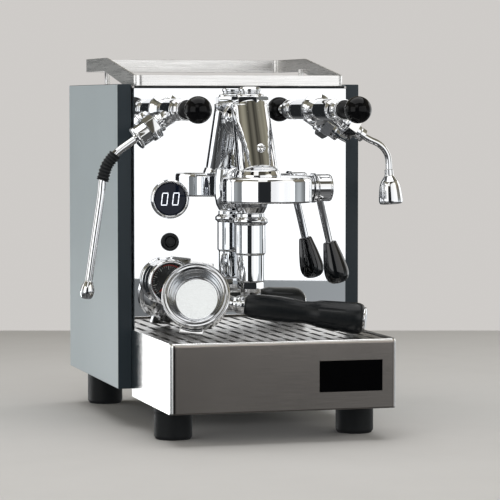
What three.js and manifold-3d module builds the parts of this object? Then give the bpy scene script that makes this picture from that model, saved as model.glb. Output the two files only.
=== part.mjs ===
// Heat-exchange espresso machine with a lever-operated brew group.
// Millimetres, +Z up, front towards -Y. The machine is laid out from its own
// centre plane (x = 0) and the front edges of its side panels (y = 0), with
// z = 0 on the worktop; one group then carries it to the centre of its box.
import * as THREE from 'three';
import { mergeVertices } from 'three/addons/utils/BufferGeometryUtils.js';
import Module from 'manifold-3d';

const wasm = await Module();
wasm.setup();

// ---- driving dimensions ----
const CENTRE_SHIFT = { x: 7.5, y: -38 };
const CLEARANCE = 0.3;
const SHEET = 1.5;

const BODY = { halfGap: 117.5, side: 15, depth: 248.5, bottom: 41, top: 361 };
const PANEL = { half: 116, face: -6, fold: 17, top: 356.6 };
const COVER = { top: 359, thick: 2, holePitchX: 26, holePitchY: 24 };
const TRAY = { half: 117.8, front: -170, bottom: 33, top: 103.5, corner: 5, fold: 5.5 };
const PAN = { half: 114, front: -163.9, back: -8.5, bottom: 42, top: 99 };
const GRID = { half: 115, front: -163.9, back: -7.5, thick: 2, corner: 5, columns: 15, rows: 3 };
const FOOT = { radius: 19.6, x: 97, frontY: -96, rearY: 225 };
const RAIL = { half: 114.5, front: -5, back: 246, corner: 8, thick: 1.6, postY: 143,
  lowFrom: 45, lowTo: 145, lowRise: 17, highTo: 133, highRise: 20.2, frontHeight: 11.3 };
const VENT = { half: 60, bottom: 220, pitch: 11, height: 4, count: 9 };
const INLET = { x: 64, z: 73, halfWidth: 14, halfHeight: 12, flange: 6, flangeRise: 4, depth: 24 };
const TANK = { half: 68, front: 156, back: 222, bottom: 43.5, top: 350 };
const LID = { half: 78, front: 150, back: 236, thick: 2.2 };

const GROUP = { y: -40, frontY: -105, bellRadius: 46, bellBottom: 240, bellTop: 266,
  noseY: -72, noseZ: 268, crown: 340.5, upperPipeZ: 324, lowerPipeZ: 252 };
const CUP_SCREW = { y: -82.4, z: 295, slope: [0, -0.907, 0.421] };
const COLUMN = { y: -42, top: 226, seam: 154.6, tip: 138.5 };
const LEVER = { x: 77, y: -50, z: 252.5, radius: 14.4, tilt: 13.6 };
const VALVE = { x: 83.5, z: 334.3, socketY: -104, ballY: -147, outletY: -50,
  outletZ: 331.5, outletDip: 33.5 };
const BALL_RADIUS = 13.8;
const DISPLAY = { x: -77.6, z: 240.6, radius: 20.6 };
const BUTTON = { x: -77.8, z: 195.5, radius: 9.6 };
const GAUGE = { x: -81.6, z: 154, radius: 24.5, front: -27.5 };
const BADGE = { x: 69.3, z: 67.2, width: 65.4, height: 31.6, thick: 1.6 };
const FILTER = { x: -67, y: -72, z: 144.2, rim: 35.6, turn: 19.5, lean: 21, roll: 6.6,
  basketDepth: 15, basketFloor: 22.6, basketSheet: 1 };

// ---- materials ----
const metal = (color, roughness) => new THREE.MeshStandardMaterial({ color, roughness, metalness: 1 });
const plastic = (color, roughness) => new THREE.MeshStandardMaterial({ color, roughness, metalness: 0 });
const CHROME = metal(0xd8dadb, 0.06);
const MIRROR_STEEL = metal(0xdfe2e3, 0.04);
const BRUSHED_STEEL = metal(0xb9b7b2, 0.3);
const COPPER = metal(0xb5714a, 0.35);
const BRASS = metal(0xb08d4f, 0.35);
const GREY_PAINT = plastic(0x9aa6ad, 0.45);
const DARK_STEEL = metal(0x3b4449, 0.45);
const BLACK_GLOSS = plastic(0x0a0a0b, 0.12);
const BLACK_SATIN = plastic(0x17181a, 0.5);
const RUBBER = plastic(0x101112, 0.8);
const NYLON = plastic(0x121316, 0.35);
const DISPLAY_GLASS = plastic(0x121a26, 0.08);
const CLEAR = new THREE.MeshStandardMaterial({
  color: 0xe8eef0, roughness: 0.03, transparent: true, opacity: 0.25 });
const TANK_PLASTIC = plastic(0xc9d4d8, 0.3);
const DIAL_BLACK = plastic(0x0d0e10, 0.5);
const NEEDLE_RED = plastic(0xc23a36, 0.5);

// ---- closed solids and joins ----
const vec = (x, y, z) => new THREE.Vector3(x, y, z);

// Shared corners merged, faces without area dropped, and every face pointing out.
function closed(geometry) {
  const bare = geometry.clone();
  for (const name of Object.keys(bare.attributes)) if (name !== 'position') bare.deleteAttribute(name);
  const merged = mergeVertices(bare, 1e-3);
  const corners = merged.attributes.position;
  const faces = [];
  let volume = 0;
  for (let i = 0; i < merged.index.count; i += 3) {
    const [a, b, c] = [0, 1, 2].map((k) => merged.index.getX(i + k));
    if (a === b || b === c || c === a) continue;
    faces.push(a, b, c);
    const [p, q, r] = [a, b, c].map((k) => new THREE.Vector3().fromBufferAttribute(corners, k));
    volume += p.dot(q.cross(r));
  }
  if (volume < 0) {
    for (let i = 0; i < faces.length; i += 3) [faces[i], faces[i + 1]] = [faces[i + 1], faces[i]];
  }
  merged.setIndex(faces);
  return merged;
}

function toManifold(geometry) {
  const solid = closed(geometry);
  return new wasm.Manifold(new wasm.Mesh({
    numProp: 3,
    vertProperties: new Float32Array(solid.attributes.position.array),
    triVerts: new Uint32Array(solid.index.array),
  }));
}

function fromManifold(manifold) {
  const { vertProperties, triVerts } = manifold.getMesh();
  const geometry = new THREE.BufferGeometry();
  geometry.setAttribute('position', new THREE.BufferAttribute(new Float32Array(vertProperties), 3));
  geometry.setIndex(Array.from(triVerts));
  return geometry;
}

const join = (...parts) => fromManifold(parts.map(toManifold).reduce((all, part) => all.add(part)));
const cut = (body, ...tools) => fromManifold(tools.map(toManifold)
  .reduce((left, tool) => left.subtract(tool), toManifold(body)));

// ---- simple shapes ----
function box(x0, x1, y0, y1, z0, z1) {
  const shape = new THREE.BoxGeometry(x1 - x0, y1 - y0, z1 - z0);
  return shape.translate((x0 + x1) / 2, (y0 + y1) / 2, (z0 + z1) / 2);
}

// Carries a shape built along +Z from the origin so that it runs from one point along a direction.
function along(shape, from, direction) {
  const turn = new THREE.Quaternion().setFromUnitVectors(vec(0, 0, 1), direction.clone().normalize());
  return shape.applyQuaternion(turn).translate(from.x, from.y, from.z);
}

function rod(from, to, radius, endRadius = radius, sides = 20) {
  const axis = to.clone().sub(from);
  const shape = new THREE.CylinderGeometry(endRadius, radius, axis.length(), sides);
  return along(shape.rotateX(Math.PI / 2).translate(0, 0, axis.length() / 2), from, axis);
}

// A turned piece: the profile is a closed or axis-to-axis list of [radius, height].
function turned(profile, from, direction, sides = 24) {
  const points = profile.map(([radius, height]) => new THREE.Vector2(radius, height));
  return along(new THREE.LatheGeometry(points, sides).rotateX(Math.PI / 2), from, direction);
}

// Points on a round stretch of a profile, from one angle to another in degrees.
function arc(cx, cy, radius, fromDegrees, toDegrees, steps) {
  const angle = (i) => THREE.MathUtils.degToRad(fromDegrees + ((toDegrees - fromDegrees) * i) / steps);
  return Array.from({ length: steps + 1 }, (_, i) => [
    cx + radius * Math.cos(angle(i)), cy + radius * Math.sin(angle(i))]);
}

function roundedPlate(halfX, y0, y1, corner, z0, z1) {
  const outline = new THREE.Shape();
  outline.moveTo(-halfX, y1);
  outline.lineTo(-halfX, y0 + corner);
  outline.absarc(-halfX + corner, y0 + corner, corner, Math.PI, 1.5 * Math.PI, false);
  outline.lineTo(halfX - corner, y0);
  outline.absarc(halfX - corner, y0 + corner, corner, 1.5 * Math.PI, 2 * Math.PI, false);
  outline.lineTo(halfX, y1);
  const shape = new THREE.ExtrudeGeometry(outline, { depth: z1 - z0, bevelEnabled: false, curveSegments: 5 });
  return shape.translate(0, 0, z0);
}

// A round bar or tube that follows points through a smooth curve.
function tube(points, radius, steps, sides = 12) {
  const section = new THREE.Shape(Array.from({ length: sides }, (_, i) => {
    const angle = (2 * Math.PI * i) / sides;
    return new THREE.Vector2(radius * Math.cos(angle), radius * Math.sin(angle));
  }));
  const path = new THREE.CatmullRomCurve3(points, false, 'centripetal');
  return new THREE.ExtrudeGeometry(section, { steps, extrudePath: path, bevelEnabled: false });
}

// ---- the assembly ----
const machine = new THREE.Group();
machine.position.set(CENTRE_SHIFT.x, CENTRE_SHIFT.y, 0);

function add(name, geometry, material) {
  const mesh = new THREE.Mesh(closed(geometry), material);
  mesh.name = name;
  machine.add(mesh);
}

const FORWARD = vec(0, -1, 0);
const UP = vec(0, 0, 1);

// ---- casing ----
function casing() {
  const { halfGap, side, depth, bottom, top } = BODY;
  const inside = halfGap - CLEARANCE;
  add('base_plate', box(-inside, inside, 1, depth - 2.5, bottom, bottom + 2), DARK_STEEL);

  for (const [name, sign] of [['left_side_panel', -1], ['right_side_panel', 1]]) {
    const inner = sign * halfGap;
    const outer = sign * (halfGap + side);
    const span = (a, b) => [Math.min(a, b), Math.max(a, b)];
    const shell = box(...span(inner, outer), 0, depth, bottom, top);
    const hollow = box(...span(inner - sign, outer - sign * SHEET),
      SHEET, depth - SHEET, bottom + SHEET, top - SHEET);
    add(name, cut(shell, hollow), GREY_PAINT);
  }

  const { half, face, fold } = PANEL;
  const panelBottom = bottom + 2 + CLEARANCE;
  const channel = cut(
    box(-half, half, face, face + fold, panelBottom, PANEL.top),
    box(-half + SHEET, half - SHEET, face + SHEET, face + fold + 1, bottom, top),
    rod(vec(DISPLAY.x, face - 1, DISPLAY.z), vec(DISPLAY.x, face + 3, DISPLAY.z), 18.4),
    rod(vec(BUTTON.x, face - 1, BUTTON.z), vec(BUTTON.x, face + 3, BUTTON.z), 7.9, 7.9, 20),
    rod(vec(GAUGE.x, face - 1, GAUGE.z), vec(GAUGE.x, face + 3, GAUGE.z), 19.5),
  );
  add('front_panel', channel, MIRROR_STEEL);

  const slots = Array.from({ length: VENT.count }, (_, i) => {
    const z = VENT.bottom + VENT.pitch * i;
    return box(-VENT.half, VENT.half, depth - 4, depth + 1, z, z + VENT.height);
  });
  const inletReach = INLET.halfWidth + CLEARANCE;
  const inletRise = INLET.halfHeight + CLEARANCE;
  const inletHole = box(INLET.x - inletReach, INLET.x + inletReach, depth - 4, depth + 1,
    INLET.z - inletRise, INLET.z + inletRise);
  const rear = box(-half, half, depth - 2, depth - 0.5, panelBottom, PANEL.top);
  add('back_panel', cut(rear, ...slots, inletHole), BRUSHED_STEEL);

  const holes = [];
  for (let row = 0; row < 4; row += 1) {
    for (let column = 0; column < 7; column += 1) {
      const x = COVER.holePitchX * (column - 3);
      const y = 30 + COVER.holePitchY * row;
      holes.push(box(x - 8, x + 8, y - 2, y + 2, COVER.top - 4, COVER.top + 1));
    }
  }
  const cover = box(-inside, inside, face + 2.5, depth, COVER.top - COVER.thick, COVER.top);
  const fillOpening = box(-LID.half + 5, LID.half - 5, LID.front + 5, LID.back - 5,
    COVER.top - 4, COVER.top + 1);
  add('top_cover', cut(cover, fillOpening, ...holes), BRUSHED_STEEL);
}

// ---- cup rail: one strip bent round, low at the front and raised at the back ----
function cupRail() {
  const { half, front, back, corner, thick, postY } = RAIL;
  const base = COVER.top + CLEARANCE;
  const climb = (y, from, to) => THREE.MathUtils.clamp((y - from) / (to - from), 0, 1);
  const lowEdge = (y) => base + RAIL.lowRise * climb(y, RAIL.lowFrom, RAIL.lowTo);
  const highEdge = (y) => base + RAIL.frontHeight + RAIL.highRise * climb(y, 0, RAIL.highTo);
  const bends = [RAIL.lowFrom, 90, RAIL.highTo, RAIL.lowTo];
  const plan = (inset) => {
    const reach = half - inset;
    const radius = corner - inset;
    const ring = [];
    const bend = (cx, cy, from) => ring.push(...arc(cx, cy, radius, from, from + 90, 5));
    bend(-half + corner, front + corner, 180);
    bend(half - corner, front + corner, 270);
    for (const y of bends) ring.push([reach, y]);
    bend(half - corner, back - corner, 0);
    bend(-half + corner, back - corner, 90);
    for (const y of [...bends].reverse()) ring.push([-reach, y]);
    return ring;
  };
  const outer = plan(0);
  const inner = plan(thick);
  const count = outer.length;
  const positions = [];
  for (let i = 0; i < count; i += 1) {
    for (const [x, y] of [outer[i], inner[i]]) positions.push(x, y, lowEdge(y), x, y, highEdge(y));
  }
  const index = [];
  const quad = (a, b, c, d) => index.push(a, b, c, a, c, d);
  for (let i = 0; i < count; i += 1) {
    const here = 4 * i;
    const next = 4 * ((i + 1) % count);
    quad(here, next, next + 1, here + 1);
    quad(here + 1, next + 1, next + 3, here + 3);
    quad(here + 3, next + 3, next + 2, here + 2);
    quad(here + 2, next + 2, next, here);
  }
  const strip = new THREE.BufferGeometry();
  strip.setAttribute('position', new THREE.Float32BufferAttribute(positions, 3));
  strip.setIndex(index);
  const posts = [-1, 1].map((sign) => {
    const x = sign * (half - thick - 1.6);
    return rod(vec(x, postY, base), vec(x, postY, lowEdge(postY) + 3), 3, 3, 16);
  });
  add('cup_rail', join(strip, ...posts), BRUSHED_STEEL);
}

// ---- feet, drip tray and badge ----
function trayAndFeet() {
  const { half, front, bottom, top, corner } = TRAY;
  const profile = (height) => [[0, 0], [FOOT.radius - 2, 0], [FOOT.radius, 3],
    [FOOT.radius, height], [0, height]];
  for (const [row, y, under] of [['front', FOOT.frontY, bottom], ['rear', FOOT.rearY, BODY.bottom]]) {
    for (const [hand, sign] of [['left', -1], ['right', 1]]) {
      const foot = turned(profile(under - CLEARANCE), vec(sign * FOOT.x, y, 0), UP, 20);
      add(`foot_${row}_${hand}`, foot, RUBBER);
    }
  }

  // The front is a sheet of its own, folded back along its top and at both ends.
  const foldBack = front + TRAY.fold;
  const fascia = roundedPlate(half, front, foldBack, corner, bottom, top);
  const behind = roundedPlate(half - SHEET, front + SHEET, foldBack + 1, corner - SHEET,
    bottom - 1, top - SHEET);
  add('tray_front', cut(fascia, behind), BRUSHED_STEEL);

  const channel = box(-half, half, foldBack + CLEARANCE, -0.5, bottom, top);
  const hollow = box(-half + SHEET, half - SHEET, foldBack - 1, 1, bottom + 2, top + 1);
  add('tray_housing', cut(channel, hollow), BRUSHED_STEEL);

  const pan = box(-PAN.half, PAN.half, PAN.front, PAN.back, PAN.bottom, PAN.top);
  const panHollow = box(-PAN.half + 1, PAN.half - 1, PAN.front + 1, PAN.back - 1,
    PAN.bottom + 1, PAN.top + 1);
  add('drip_pan', cut(pan, panHollow), BRUSHED_STEEL);

  const gridBottom = PAN.top + CLEARANCE;
  const slots = [];
  const pitchX = (2 * GRID.half - 10) / GRID.columns;
  const pitchY = (GRID.back - GRID.front - 10) / GRID.rows;
  for (let column = 0; column < GRID.columns; column += 1) {
    for (let row = 0; row < GRID.rows; row += 1) {
      const x = -GRID.half + 5 + pitchX * (column + 0.5);
      const y = GRID.front + 5 + pitchY * (row + 0.5);
      const reach = 0.42 * pitchY;
      slots.push(box(x - 2.5, x + 2.5, y - reach, y + reach, gridBottom - 1, gridBottom + 4));
    }
  }
  const sheet = roundedPlate(GRID.half, GRID.front, GRID.back, GRID.corner,
    gridBottom, gridBottom + GRID.thick);
  add('drip_grid', cut(sheet, ...slots), BRUSHED_STEEL);

  const rear = front - CLEARANCE;
  const { x, z, width, height, thick } = BADGE;
  const badge = box(x - width / 2, x + width / 2, rear - thick, rear, z - height / 2, z + height / 2);
  add('badge_plate', badge, BLACK_GLOSS);
}

// ---- brew group ----
function brewGroup() {
  const { y, frontY, bellRadius, bellBottom, bellTop, noseY, noseZ, crown } = GROUP;
  const panel = PANEL.face - CLEARANCE;
  const pipe = (z, from, radius, flange) => [
    rod(vec(0, from, z), vec(0, panel, z), radius, radius, 16),
    rod(vec(0, panel + 0.1 - 5, z), vec(0, panel, z), flange, flange, 20),
  ];
  const bell = turned([
    [34, bellBottom], [bellRadius - 1.5, bellBottom], [bellRadius, bellBottom + 1.5],
    ...arc(bellRadius - 4, bellTop - 4, 4, 0, 90, 4), [0, bellTop],
    [0, bellTop - 8], [36.5, bellTop - 8], [36.5, bellBottom + 7], [34, bellBottom + 7], [34, bellBottom],
  ], vec(0, frontY, 0), UP, 36);
  const head = join(
    rod(vec(0, y, crown), vec(0, y, crown - 4.5), 19.8, 19.8, 24),
    rod(vec(0, y, crown - 3.5), vec(0, noseY, noseZ), 19.3, 21.3, 24),
    turned([[0, 262], [22.5, 262], [23.5, 268], [22.5, 271], [0, 276]], vec(0, noseY, 0), UP, 24),
    ...pipe(GROUP.upperPipeZ, y, 14, 21),
    ...pipe(GROUP.lowerPipeZ, y - 8, 16, 23),
    turned([[0, COLUMN.top + CLEARANCE], [13.5, COLUMN.top + CLEARANCE], [17, 233], [19, 244],
      [18, 268], [0, 272]], vec(0, y - 4, 0), UP, 24),
    rod(vec(0, LEVER.y, LEVER.z), vec(64.2, LEVER.y, LEVER.z), 13.2, 13.2, 20),
    bell,
  );
  add('group_head', cut(head, box(-40, 40, y - 40, y + 40, crown, crown + 20)), CHROME);

  const nut = rod(vec(0, y, crown + CLEARANCE), vec(0, y, 348), 19.6, 19.6, 6);
  const dome = turned([[0, 346], [14.4, 346], [14.6, 349.4], [11, 351.2], [10.2, 352.4], [11.2, 353.4],
    [11.2, 356.2], ...arc(9.2, 356.2, 2, 0, 90, 3), [0, 358.4]], vec(0, y, 0), UP, 18);
  add('group_top_nut', join(nut, dome), CHROME);

  const slope = vec(...CUP_SCREW.slope);
  const screwSeat = vec(0, CUP_SCREW.y, CUP_SCREW.z).addScaledVector(slope, CLEARANCE);
  const screw = [[0, 0], [4.6, 0], [4.4, 1.2], [2.6, 2.4], [0, 2.8]];
  add('group_cup_screw', turned(screw, screwSeat, slope, 12), CHROME);

  add('group_gasket', turned([[28.5, 251.3], [36, 251.3], [36, 257.6], [28.5, 257.6], [28.5, 251.3]],
    vec(0, frontY, 0), UP, 24), RUBBER);
  add('shower_screen', turned([[0, 249], [26, 249], [28, 251], [28, 257.6], [26.6, 257.6], [26.6, 251.6],
    [0, 250.4]], vec(0, frontY, 0), UP, 24), BRUSHED_STEEL);

  const { top, seam, tip } = COLUMN;
  add('preinfusion_chamber', turned([[0, seam], [14.6, seam], [14.6, 183.4], [16.1, 184.6], [16.1, 214.4],
    [18.3, 216.2], [18.3, 220], [15, 222.6], [15, top], [0, top]], vec(0, COLUMN.y, 0), UP, 24), CHROME);
  const drain = join(
    rod(vec(0, COLUMN.y, seam - CLEARANCE), vec(0, COLUMN.y, 147.4), 13.8, 13.8, 12),
    cut(turned([[0, tip], [9, tip], [11, 141], [11, 148], [0, 148]], vec(0, COLUMN.y, 0), UP, 16),
      rod(vec(0, COLUMN.y, tip - 1), vec(0, COLUMN.y, tip + 6), 4, 4, 12)),
  );
  add('drain_nozzle', drain, CHROME);
}

// ---- brew lever on the right of the group ----
function brewLever() {
  const { x, y, z, radius, tilt } = LEVER;
  const inner = x - 8.1;
  add('lever_bushing', turned([[0, 0], [15.6, 0], [15.6, 3.2], [14.8, 4], [0, 4]], vec(inner - 4.4, y, z),
    vec(1, 0, 0), 20), CHROME);
  const slant = THREE.MathUtils.degToRad(tilt);
  const run = vec(Math.sin(slant), 0, -Math.cos(slant));
  const root = vec(x - 6.5, y, z);
  const hub = turned([[0, 0], [radius, 0], [radius, 14.6], ...arc(radius - 1.6, 14.6, 1.6, 0, 90, 3),
    [0, 16.2]],
    vec(inner, y, z), vec(1, 0, 0), 24);
  const shank = rod(root.clone().addScaledVector(run, 11), root.clone().addScaledVector(run, 70), 4, 4, 12);
  add('lever_arm', join(hub, shank), CHROME);
  const grip = cut(
    turned([[0, 58.4], [6.4, 58.4], [7.2, 59.6], [11.9, 80], [12.8, 88], ...arc(0, 90.5, 12.9, 0, 90, 4)],
      root, run, 20),
    rod(root, root.clone().addScaledVector(run, 71), 4.3, 4.3, 12),
  );
  add('lever_knob', grip, BLACK_GLOSS);
}

// ---- steam and hot-water valves, mirror images of each other ----
const dip = THREE.MathUtils.degToRad(VALVE.outletDip);
const outletAxis = (sign) => vec(sign * Math.cos(dip), 0, -Math.sin(dip));
const onOutlet = (sign, distance) => vec(sign * VALVE.x, VALVE.outletY, VALVE.outletZ)
  .addScaledVector(outletAxis(sign), distance);

function valve(name, sign) {
  const { x, z, socketY, ballY } = VALVE;
  const start = vec(sign * x, PANEL.face - CLEARANCE, z);
  const reach = start.y - socketY;
  const body = join(
    turned([[0, 0], [17, 0], [17, 3], [13, 6], [11.4, 8], [11.4, reach - 34], [9.6, reach - 32],
      [9.6, reach - 22], [11, reach - 20], [11, reach - 14], [9.2, reach - 12], [10.9, reach - 4],
      [10.9, reach], [0, reach]], start, FORWARD, 20),
    rod(onOutlet(sign, 0), onOutlet(sign, 19), 8.2, 8.2, 14),
    rod(onOutlet(sign, 17.5), onOutlet(sign, 20.5), 9.8, 9.8, 14),
  );
  const socketSeat = turned([[0, 0], [9.6, 0], [9.6, 6], [0, 6]], vec(sign * x, socketY + 4, z), FORWARD, 20);
  add(`${name}_valve_body`, cut(body, socketSeat), CHROME);
  add(`${name}_valve_socket`, turned([[0, 0], [9.2, 0], [9.2, 3.2], [7.6, 4.2], [0, 4.2]],
    vec(sign * x, socketY + 3.6, z), FORWARD, 20), NYLON);

  const stemStart = vec(sign * x, socketY - 1.8, z);
  add(`${name}_lever_stem`, turned([[0, 0], [3.4, 0], [3.4, 22], [5.6, 24], [5.6, 31], [0, 31]],
    stemStart, FORWARD, 14), CHROME);
  const ball = turned(arc(0, 0, BALL_RADIUS, -90, 90, 9), vec(sign * x, ballY, z), FORWARD, 18);
  const bore = rod(vec(sign * x, ballY + 20, z), vec(sign * x, ballY + 9.8, z), 6, 6, 14);
  add(`${name}_ball_knob`, cut(ball, bore), BLACK_GLOSS);

  const axis = outletAxis(sign);
  const hex = rod(onOutlet(sign, 23), onOutlet(sign, 34), 13.4, 13.4, 6);
  const neck = turned([[0, 0], [9.2, 0], [9.2, 3], [0, 3]], onOutlet(sign, 20.8), axis, 14);
  add(`${name}_outlet_nut`, join(hex, neck), CHROME);
}

function wands() {
  const y = VALVE.outletY;
  const steamRoute = [onOutlet(-1, 36), onOutlet(-1, 44), onOutlet(-1, 58), vec(-146.5, y, 288.5),
    vec(-155, y, 277), vec(-159.6, y, 262), vec(-161.2, y, 247), vec(-168, y, 202), vec(-174.2, y, 160)];
  const steamCollar = turned([[0, 0], [11.4, 0], [11.4, 12], [12.4, 12.6], [12.4, 14.4], [4, 15.6],
    [0, 15.6]], onOutlet(-1, 34.4), outletAxis(-1), 12);
  add('steam_wand', join(tube(steamRoute, 4, 18, 10), steamCollar), CHROME);

  const gripRoute = steamRoute.slice(3, 6);
  add('steam_wand_grip', cut(tube(gripRoute, 6, 6, 12), tube(steamRoute, 4.3, 18, 10)), RUBBER);
  const wandEnd = vec(-174.2, y, 159.6);
  const wandLine = vec(-6.2, 0, -42);
  const tip = [[0, 0], [4.2, 0], [4.6, 2], [6.6, 6], [7.2, 10], [6.4, 15.5], [4.4, 18.6], [0, 19.6]];
  add('steam_wand_tip', turned(tip, wandEnd, wandLine, 16), CHROME);

  const waterRoute = [onOutlet(1, 36), onOutlet(1, 44), vec(129, y, 302.4), vec(137.5, y, 298.6),
    vec(144.2, y, 293), vec(148.4, y, 285.6), vec(149.6, y, 278.6), vec(149.8, y, 271.4)];
  const waterCollar = turned([[0, 0], [7, 0], [7, 11], [0, 11.6]], onOutlet(1, 34.4), outletAxis(1), 14);
  add('water_wand', join(tube(waterRoute, 3.4, 16, 10), waterCollar), CHROME);
  const nozzleTop = vec(149.8, y, 271);
  const nozzleLine = vec(0.07, 0, -1);
  const flare = turned([[0, 0], [4.6, 0], [4.8, 6], [6.4, 9], [9.4, 14], [11.2, 20], [12.6, 30],
    [12.4, 34], [11, 36.4], [0, 36.4]], nozzleTop, nozzleLine, 20);
  const mouthTop = nozzleTop.clone().addScaledVector(nozzleLine, 30);
  const mouth = turned([[0, 0], [10.4, 0], [10.4, 9], [0, 9]], mouthTop, nozzleLine, 20);
  add('water_nozzle', cut(flare, mouth), CHROME);
}

// ---- front instruments ----
function instruments() {
  const face = PANEL.face - CLEARANCE;
  const { x, z, radius } = DISPLAY;
  const bezel = [[17.4, 0], [radius, 0], [radius, 1.4], [radius - 0.9, 2.4], [18.4, 2.8], [17.4, 2],
    [17.4, 0]];
  add('display_bezel', turned(bezel, vec(x, face, z), FORWARD, 28), CHROME);
  const pane = [[0, 0], [17.1, 0], [17.1, 7], [0, 7]];
  add('display_window', turned(pane, vec(x, face + 6, z), FORWARD, 24), DISPLAY_GLASS);

  const ring = [[5.9, 0], [BUTTON.radius, 0], [BUTTON.radius, 1.8], [BUTTON.radius - 1, 2.8],
    [5.9, 2.8], [5.9, 0]];
  add('button_ring', turned(ring, vec(BUTTON.x, face, BUTTON.z), FORWARD, 20), BLACK_SATIN);
  const cap = [[0, 0], [5.5, 0], [5.5, 9], [4.8, 9.6], [0, 9.6]];
  add('button_cap', turned(cap, vec(BUTTON.x, face + 7.2, BUTTON.z), FORWARD, 18), BLACK_SATIN);

  const depth = face - GAUGE.front;
  const wall = GAUGE.radius - 1.5;
  const caseRim = [[0, 0], [wall, 0], [wall, depth - 6], [GAUGE.radius, depth - 5],
    [GAUGE.radius, depth - 1.6], [GAUGE.radius - 1.8, depth], [20.8, depth], [19.4, depth - 3],
    [19.4, 8], [0, 8]];
  const centre = vec(GAUGE.x, face, GAUGE.z);
  add('gauge_case', turned(caseRim, centre, FORWARD, 28), CHROME);
  const at = (offset) => vec(GAUGE.x, face - offset, GAUGE.z);
  add('gauge_dial', turned([[0, 0], [19, 0], [19, 1], [0, 1]], at(8.3), FORWARD, 24), DIAL_BLACK);
  add('gauge_glass', turned([[0, 0], [19, 0], [19, 1.4], [0, 1.4]], at(depth - 5.4), FORWARD, 24), CLEAR);
  const pointer = box(-0.6, 0.6, -0.5, 0.5, -4, 14).rotateY(THREE.MathUtils.degToRad(-135))
    .translate(GAUGE.x, face - 10.5, GAUGE.z);
  add('gauge_needle', join(rod(at(9.6), at(11.4), 2.4, 2.4, 12), pointer), NEEDLE_RED);
}

// ---- portafilter, laid on the drip grid ----
// Built about its rim centre: local +Z out of the basket, local +X along the handle.
function portafilter() {
  const { x, y, z, rim, turn, lean, roll } = FILTER;
  const [turnAngle, leanAngle, rollAngle] = [turn, lean, roll].map(THREE.MathUtils.degToRad);
  const pose = new THREE.Matrix4()
    .makeTranslation(x, y, z)
    .multiply(new THREE.Matrix4().makeRotationZ(-turnAngle))
    .multiply(new THREE.Matrix4().makeRotationX(Math.PI / 2 - leanAngle))
    .multiply(new THREE.Matrix4().makeRotationZ(-rollAngle));
  const place = (name, geometry, material) => add(name, geometry.applyMatrix4(pose), material);

  const origin = vec(0, 0, 0);
  const bowl = turned([[28.9, -1.3], [28.9, -28], [0, -28], [0, -35], [14, -35], [22, -33.4],
    [29.4, -29], [32, -24], [32.4, -9], [rim, -7.4], [rim, -1.4], [rim - 0.8, -1.3],
    [28.9, -1.3]], origin, UP, 32);
  const ears = [30.2, -39.2].map((start) => box(-12.5, 12.5, start, start + 9, -14, -9));
  const neck = turned([[0, 0], [10, 0], [8.8, 3], [7.6, 9], [9.2, 14], [9.6, 15], [9.6, 21.4], [0, 21.4]],
    vec(29.5, 0, -17), vec(1, 0, 0), 18);
  place('portafilter_body', join(bowl, ...ears, neck), CHROME);

  // A shallow basket: its wall tapers to a plain floor.
  const { basketDepth: deep, basketFloor: floor, basketSheet: sheet } = FILTER;
  const basket = [[0, -deep - sheet], [floor + 1, -deep - sheet], [floor + 2, -deep + 0.2], [28.4, -1],
    [rim - 1.6, -1], [rim - 1.2, -0.4], [rim - 2, 0.2], [28.2, 0.2], [27.2, -1], [floor + 0.8, -deep + 1],
    [floor, -deep], [0, -deep]];
  place('filter_basket', turned(basket, origin, UP, 32), BRUSHED_STEEL);

  const spoutNut = rod(vec(0, 0, -35.3), vec(0, 0, -42), 9.5, 9.5, 12);
  const spouts = [1, -1].map((side) => {
    const route = [[3, -40], [11, -42], [16, -46], [17, -53]];
    return tube(route.map(([reach, height]) => vec(0, side * reach, height)), 5, 5, 8);
  });
  place('double_spout', join(spoutNut, ...spouts), CHROME);

  const outward = vec(1, 0, 0);
  const grip = [[0, 0], [9.8, 0], [11.4, 2], [12.6, 10], [13.4, 30], [12.8, 48], [11.6, 60], [12, 68],
    [13.8, 74], [14.6, 80], [15.6, 100], [16.4, 114], [15.6, 118.6], [13.6, 121.4], [0, 122]];
  place('portafilter_handle', turned(grip, vec(51.2, 0, -17), outward, 20), BLACK_SATIN);
  const endCap = [[0, 0], [12.4, 0], [12.4, 1.4], [11, 2.6], [0, 3.4]];
  place('handle_end_cap', turned(endCap, vec(173.5, 0, -17), outward, 20), CHROME);
}

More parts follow.
